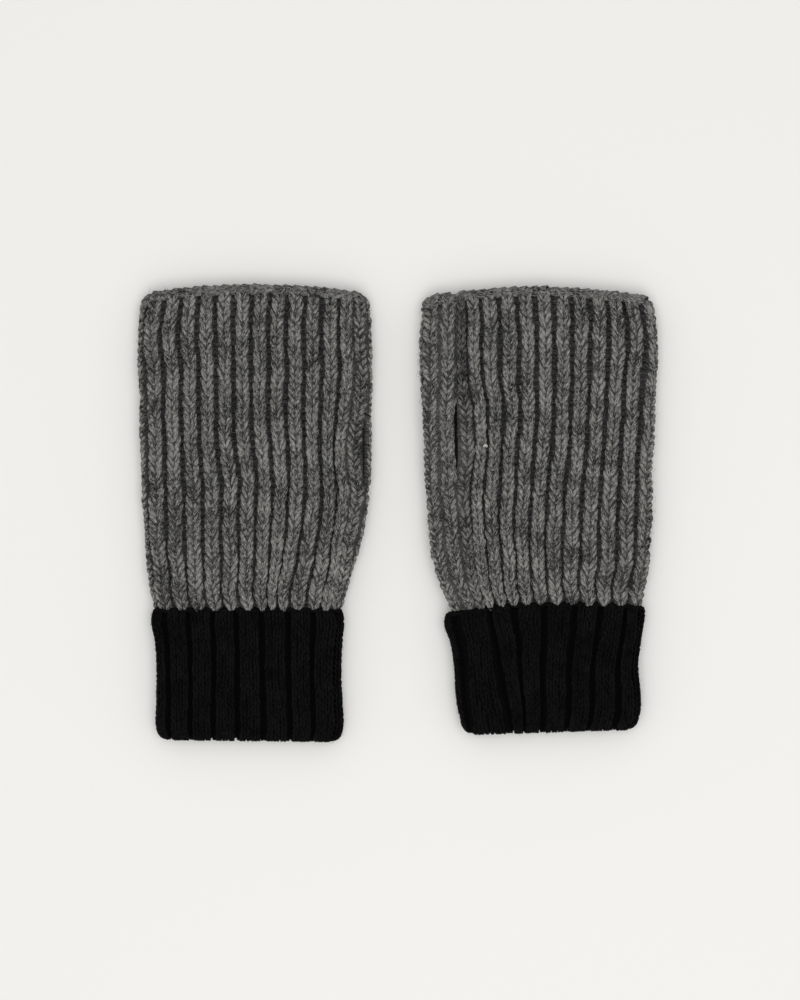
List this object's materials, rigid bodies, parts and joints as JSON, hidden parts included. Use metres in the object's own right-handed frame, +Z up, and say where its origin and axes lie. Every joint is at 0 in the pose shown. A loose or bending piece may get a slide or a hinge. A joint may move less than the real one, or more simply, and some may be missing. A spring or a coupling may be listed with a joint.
{
  "type": "fingerless gloves",
  "caption": "Pair of knitted fingerless gloves lying flat, each a ribbed hand tube open at the fingers, with a thumb slit in its side seam and a folded ribbed wrist cuff.",
  "frame": {"origin": "under the middle of the pair's box, on the surface that the gloves lie on", "axes": "+X from the left-hand glove to the right-hand glove, +Y from the cuffs to the finger openings, +Z up out of the backs of the hands"},
  "size_m": [0.2272, 0.2002, 0.0116],
  "materials": {
    "wool_grey": "grey melange wool in a chunky half-cardigan rib, matt and slightly fuzzy",
    "yarn_grey": "grey wool sewing yarn, matt",
    "rib_black": "black wool in a fine wide rib, matt",
    "yarn_black": "black wool sewing and linking yarn, matt"
  },
  "bodies": {
    "left_hand": {"left_hand_panel": "wool_grey", "left_finger_edge_band": "wool_grey", "left_upper_side_seam": "yarn_grey", "left_lower_side_seam": "yarn_grey", "left_slit_upper_tack": "yarn_black", "left_slit_lower_tack": "yarn_grey", "left_cuff_linking_seam": "yarn_black"},
    "left_cuff": {"left_cuff": "rib_black", "left_cuff_side_seam": "yarn_black"},
    "right_hand": {"right_hand_panel": "wool_grey", "right_finger_edge_band": "wool_grey", "right_upper_side_seam": "yarn_grey", "right_lower_side_seam": "yarn_grey", "right_slit_upper_tack": "yarn_black", "right_slit_lower_tack": "yarn_grey", "right_cuff_linking_seam": "yarn_black"},
    "right_cuff": {"right_cuff": "rib_black", "right_cuff_side_seam": "yarn_black"}
  },
  "joints": [
    {"name": "left_wrist_fold", "type": "hinge", "parent": "left_hand", "child": "left_cuff", "pos_m": [-0.0655, -0.0417, 0.0116], "axis": [-1, 0, 0], "range_deg": [0, 70]},
    {"name": "right_glove_lift", "type": "slide", "parent": "left_hand", "child": "right_hand", "axis": [0, 0, 1], "range_m": [0, 0.12]},
    {"name": "right_wrist_fold", "type": "hinge", "parent": "right_hand", "child": "right_cuff", "pos_m": [0.065, -0.0408, 0.0116], "axis": [-1, 0, 0], "range_deg": [0, 70]}
  ]
}
